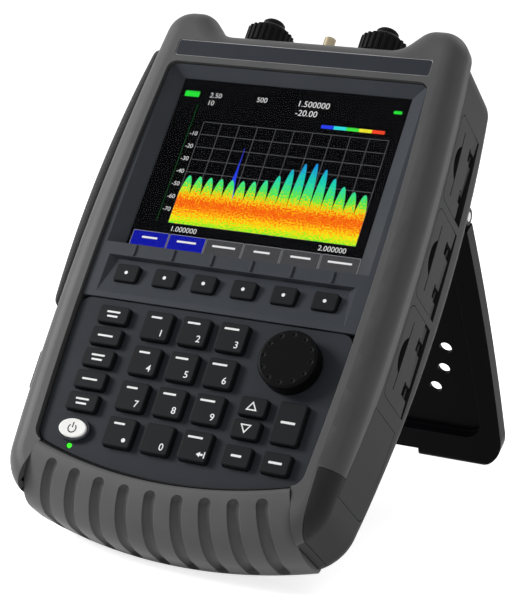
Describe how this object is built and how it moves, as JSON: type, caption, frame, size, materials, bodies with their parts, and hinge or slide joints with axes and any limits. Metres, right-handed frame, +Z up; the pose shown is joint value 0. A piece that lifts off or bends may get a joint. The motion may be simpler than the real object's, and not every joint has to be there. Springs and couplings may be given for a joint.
{
  "type": "handheld microwave analyzer",
  "caption": "Rugged handheld microwave analyzer leaning on its fold-out stand, with screen, sprung keys, turning knob, capped ports, side doors and a hand strap.",
  "frame": {"origin": "middle of the flat on the bumper's heel, where the part rests on the floor", "axes": "+X to the part's right as one faces the screen, +Y away from the person, +Z up"},
  "size_m": [0.193, 0.259, 0.2519],
  "materials": {
    "cover_grey": "soft-touch moulded plastic, mid grey",
    "cover_dark": "fine-textured moulded plastic, charcoal",
    "bumper_rubber": "moulded rubber, mid grey, satin",
    "guard_rubber": "moulded rubber, charcoal",
    "panel_plastic": "matt plastic, bluish dark grey",
    "window_glass": "clear flat window",
    "display_metal": "bare metal housing",
    "mat_rubber": "silicone rubber, black",
    "board_laminate": "green glass-fibre laminate",
    "shield_metal": "milled aluminium box",
    "battery_plastic": "black plastic pack",
    "lamp_plastic": "green lens",
    "plate_metal": "black painted sheet",
    "connector_steel": "passivated steel",
    "connector_brass": "gold-coloured plating",
    "cap_plastic": "black plastic",
    "stand_plastic": "near-black moulded plastic, slightly glossy",
    "pin_steel": "plain steel",
    "socket_plastic": "black socket bodies",
    "strap_fabric": "black woven fabric over foam",
    "knob_plastic": "black plastic",
    "power_plastic": "white",
    "key_plastic": "dark rubber-feel plastic"
  },
  "bodies": {
    "case": {"front_cover": "cover_grey", "rear_cover": "cover_dark", "bottom_bumper": "bumper_rubber", "corner_guards": "guard_rubber", "display_bezel": "panel_plastic", "keypad_panel": "panel_plastic", "display_window": "window_glass", "lcd_module": "display_metal", "keypad_mat": "mat_rubber", "front_board": "board_laminate", "main_board": "board_laminate", "rf_module": "shield_metal", "battery_pack": "battery_plastic", "encoder": "display_metal", "status_led": "lamp_plastic", "connector_plate": "plate_metal", "port_connectors": "connector_steel", "antenna_connector": "connector_brass", "stand_pin": "pin_steel", "door_hinge_pins": "pin_steel", "side_sockets": "socket_plastic", "hand_strap": "strap_fabric", "case_screws": "pin_steel"},
    "softkey_1": {"softkey_1": "key_plastic"},
    "softkey_2": {"softkey_2": "key_plastic"},
    "softkey_3": {"softkey_3": "key_plastic"},
    "softkey_4": {"softkey_4": "key_plastic"},
    "softkey_5": {"softkey_5": "key_plastic"},
    "softkey_6": {"softkey_6": "key_plastic"},
    "function_key_1": {"function_key_1": "key_plastic"},
    "function_key_2": {"function_key_2": "key_plastic"},
    "function_key_3": {"function_key_3": "key_plastic"},
    "function_key_4": {"function_key_4": "key_plastic"},
    "function_key_5": {"function_key_5": "key_plastic"},
    "number_key_0": {"number_key_0": "key_plastic"},
    "number_key_1": {"number_key_1": "key_plastic"},
    "number_key_2": {"number_key_2": "key_plastic"},
    "number_key_3": {"number_key_3": "key_plastic"},
    "number_key_4": {"number_key_4": "key_plastic"},
    "number_key_5": {"number_key_5": "key_plastic"},
    "number_key_6": {"number_key_6": "key_plastic"},
    "number_key_7": {"number_key_7": "key_plastic"},
    "number_key_8": {"number_key_8": "key_plastic"},
    "number_key_9": {"number_key_9": "key_plastic"},
    "point_key": {"point_key": "key_plastic"},
    "enter_key": {"enter_key": "key_plastic"},
    "up_key": {"up_key": "key_plastic"},
    "down_key": {"down_key": "key_plastic"},
    "cancel_key": {"cancel_key": "key_plastic"},
    "shift_key": {"shift_key": "key_plastic"},
    "back_key": {"back_key": "key_plastic"},
    "power_key": {"power_key": "power_plastic"},
    "knob": {"knob": "knob_plastic"},
    "stand": {"stand": "stand_plastic"},
    "upper_side_door": {"upper_side_door": "cover_dark"},
    "middle_side_door": {"middle_side_door": "cover_dark"},
    "lower_side_door": {"lower_side_door": "cover_dark"},
    "battery_door": {"battery_door": "cover_dark"},
    "dust_cap_left": {"dust_cap_left": "cap_plastic"},
    "dust_cap_right": {"dust_cap_right": "cap_plastic"}
  },
  "joints": [
    {"name": "softkey_1_press", "type": "slide", "parent": "case", "child": "softkey_1", "axis": [0, 0.7912, -0.6116], "range_m": [0, 0.0012], "stiffness_N_per_m": 1250},
    {"name": "softkey_2_press", "type": "slide", "parent": "case", "child": "softkey_2", "axis": [0, 0.7912, -0.6116], "range_m": [0, 0.0012], "stiffness_N_per_m": 1250},
    {"name": "softkey_3_press", "type": "slide", "parent": "case", "child": "softkey_3", "axis": [0, 0.7912, -0.6116], "range_m": [0, 0.0012], "stiffness_N_per_m": 1250},
    {"name": "softkey_4_press", "type": "slide", "parent": "case", "child": "softkey_4", "axis": [0, 0.7912, -0.6116], "range_m": [0, 0.0012], "stiffness_N_per_m": 1250},
    {"name": "softkey_5_press", "type": "slide", "parent": "case", "child": "softkey_5", "axis": [0, 0.7912, -0.6116], "range_m": [0, 0.0012], "stiffness_N_per_m": 1250},
    {"name": "softkey_6_press", "type": "slide", "parent": "case", "child": "softkey_6", "axis": [0, 0.7912, -0.6116], "range_m": [0, 0.0012], "stiffness_N_per_m": 1250},
    {"name": "function_key_1_press", "type": "slide", "parent": "case", "child": "function_key_1", "axis": [0, 0.7912, -0.6116], "range_m": [0, 0.0012], "stiffness_N_per_m": 1250},
    {"name": "function_key_2_press", "type": "slide", "parent": "case", "child": "function_key_2", "axis": [0, 0.7912, -0.6116], "range_m": [0, 0.0012], "stiffness_N_per_m": 1250},
    {"name": "function_key_3_press", "type": "slide", "parent": "case", "child": "function_key_3", "axis": [0, 0.7912, -0.6116], "range_m": [0, 0.0012], "stiffness_N_per_m": 1250},
    {"name": "function_key_4_press", "type": "slide", "parent": "case", "child": "function_key_4", "axis": [0, 0.7912, -0.6116], "range_m": [0, 0.0012], "stiffness_N_per_m": 1250},
    {"name": "function_key_5_press", "type": "slide", "parent": "case", "child": "function_key_5", "axis": [0, 0.7912, -0.6116], "range_m": [0, 0.0012], "stiffness_N_per_m": 1250},
    {"name": "number_key_0_press", "type": "slide", "parent": "case", "child": "number_key_0", "axis": [0, 0.7912, -0.6116], "range_m": [0, 0.0012], "stiffness_N_per_m": 1250},
    {"name": "number_key_1_press", "type": "slide", "parent": "case", "child": "number_key_1", "axis": [0, 0.7912, -0.6116], "range_m": [0, 0.0012], "stiffness_N_per_m": 1250},
    {"name": "number_key_2_press", "type": "slide", "parent": "case", "child": "number_key_2", "axis": [0, 0.7912, -0.6116], "range_m": [0, 0.0012], "stiffness_N_per_m": 1250},
    {"name": "number_key_3_press", "type": "slide", "parent": "case", "child": "number_key_3", "axis": [0, 0.7912, -0.6116], "range_m": [0, 0.0012], "stiffness_N_per_m": 1250},
    {"name": "number_key_4_press", "type": "slide", "parent": "case", "child": "number_key_4", "axis": [0, 0.7912, -0.6116], "range_m": [0, 0.0012], "stiffness_N_per_m": 1250},
    {"name": "number_key_5_press", "type": "slide", "parent": "case", "child": "number_key_5", "axis": [0, 0.7912, -0.6116], "range_m": [0, 0.0012], "stiffness_N_per_m": 1250},
    {"name": "number_key_6_press", "type": "slide", "parent": "case", "child": "number_key_6", "axis": [0, 0.7912, -0.6116], "range_m": [0, 0.0012], "stiffness_N_per_m": 1250},
    {"name": "number_key_7_press", "type": "slide", "parent": "case", "child": "number_key_7", "axis": [0, 0.7912, -0.6116], "range_m": [0, 0.0012], "stiffness_N_per_m": 1250},
    {"name": "number_key_8_press", "type": "slide", "parent": "case", "child": "number_key_8", "axis": [0, 0.7912, -0.6116], "range_m": [0, 0.0012], "stiffness_N_per_m": 1250},
    {"name": "number_key_9_press", "type": "slide", "parent": "case", "child": "number_key_9", "axis": [0, 0.7912, -0.6116], "range_m": [0, 0.0012], "stiffness_N_per_m": 1250},
    {"name": "point_key_press", "type": "slide", "parent": "case", "child": "point_key", "axis": [0, 0.7912, -0.6116], "range_m": [0, 0.0012], "stiffness_N_per_m": 1250},
    {"name": "enter_key_press", "type": "slide", "parent": "case", "child": "enter_key", "axis": [0, 0.7912, -0.6116], "range_m": [0, 0.0012], "stiffness_N_per_m": 1250},
    {"name": "up_key_press", "type": "slide", "parent": "case", "child": "up_key", "axis": [0, 0.7912, -0.6116], "range_m": [0, 0.0012], "stiffness_N_per_m": 1250},
    {"name": "down_key_press", "type": "slide", "parent": "case", "child": "down_key", "axis": [0, 0.7912, -0.6116], "range_m": [0, 0.0012], "stiffness_N_per_m": 1250},
    {"name": "cancel_key_press", "type": "slide", "parent": "case", "child": "cancel_key", "axis": [0, 0.7912, -0.6116], "range_m": [0, 0.0012], "stiffness_N_per_m": 1250},
    {"name": "shift_key_press", "type": "slide", "parent": "case", "child": "shift_key", "axis": [0, 0.7912, -0.6116], "range_m": [0, 0.0012], "stiffness_N_per_m": 1250},
    {"name": "back_key_press", "type": "slide", "parent": "case", "child": "back_key", "axis": [0, 0.7912, -0.6116], "range_m": [0, 0.0012], "stiffness_N_per_m": 1250},
    {"name": "power_key_press", "type": "slide", "parent": "case", "child": "power_key", "axis": [0, 0.7912, -0.6116], "range_m": [0, 0.0012], "stiffness_N_per_m": 1250},
    {"name": "knob_turn", "type": "hinge", "parent": "case", "child": "knob", "pos_m": [0.0488, 0.02411, 0.10166], "axis": [0, -0.7912, 0.6116], "continuous": true},
    {"name": "stand_fold", "type": "hinge", "parent": "case", "child": "stand", "pos_m": [0, 0.15805, 0.15612], "axis": [1, 0, 0], "range_deg": [-66.1, 0]},
    {"name": "upper_side_door_swing", "type": "hinge", "parent": "case", "child": "upper_side_door", "pos_m": [0.08585, 0.14141, 0.17656], "axis": [0, 0.6116, 0.7912], "range_deg": [0, 95]},
    {"name": "middle_side_door_swing", "type": "hinge", "parent": "case", "child": "middle_side_door", "pos_m": [0.08858, 0.10869, 0.13423], "axis": [0, 0.6116, 0.7912], "range_deg": [0, 95]},
    {"name": "lower_side_door_swing", "type": "hinge", "parent": "case", "child": "lower_side_door", "pos_m": [0.08849, 0.07597, 0.09191], "axis": [0, 0.6116, 0.7912], "range_deg": [0, 95]},
    {"name": "battery_door_slide", "type": "slide", "parent": "case", "child": "battery_door", "axis": [1, 0, 0], "range_m": [0, 0.03]},
    {"name": "dust_cap_left_pull", "type": "slide", "parent": "case", "child": "dust_cap_left", "axis": [0, 0.6116, 0.7912], "range_m": [0, 0.014]},
    {"name": "dust_cap_right_pull", "type": "slide", "parent": "case", "child": "dust_cap_right", "axis": [0, 0.6116, 0.7912], "range_m": [0, 0.014]}
  ]
}
